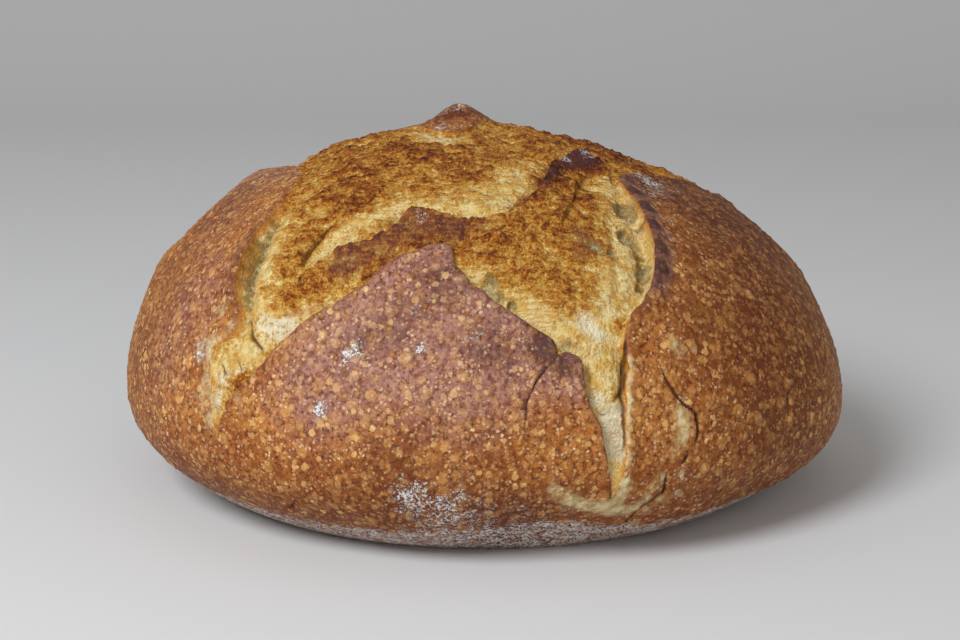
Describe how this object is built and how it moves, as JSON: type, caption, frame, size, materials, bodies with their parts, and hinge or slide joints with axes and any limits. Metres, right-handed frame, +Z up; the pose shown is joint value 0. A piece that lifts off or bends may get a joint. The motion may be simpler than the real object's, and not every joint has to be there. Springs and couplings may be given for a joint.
{
  "type": "sourdough loaf",
  "caption": "Round crusty loaf of bread, slashed and torn open on top into lifted plates of blistered crust, with a flat floured base to rest on.",
  "frame": {"origin": "middle of the loaf's box at its base, on the surface it rests on", "axes": "+Z up; -Y is the side with the large pointed plate of crust, seen in the picture; +X to its right, along the loaf's width"},
  "size_m": [0.2502, 0.233, 0.1279],
  "materials": {
    "crust": "matt baked crust, red-brown on the plates and golden in the tear"
  },
  "bodies": {
    "root": {"loaf": "crust"}
  },
  "joints": []
}
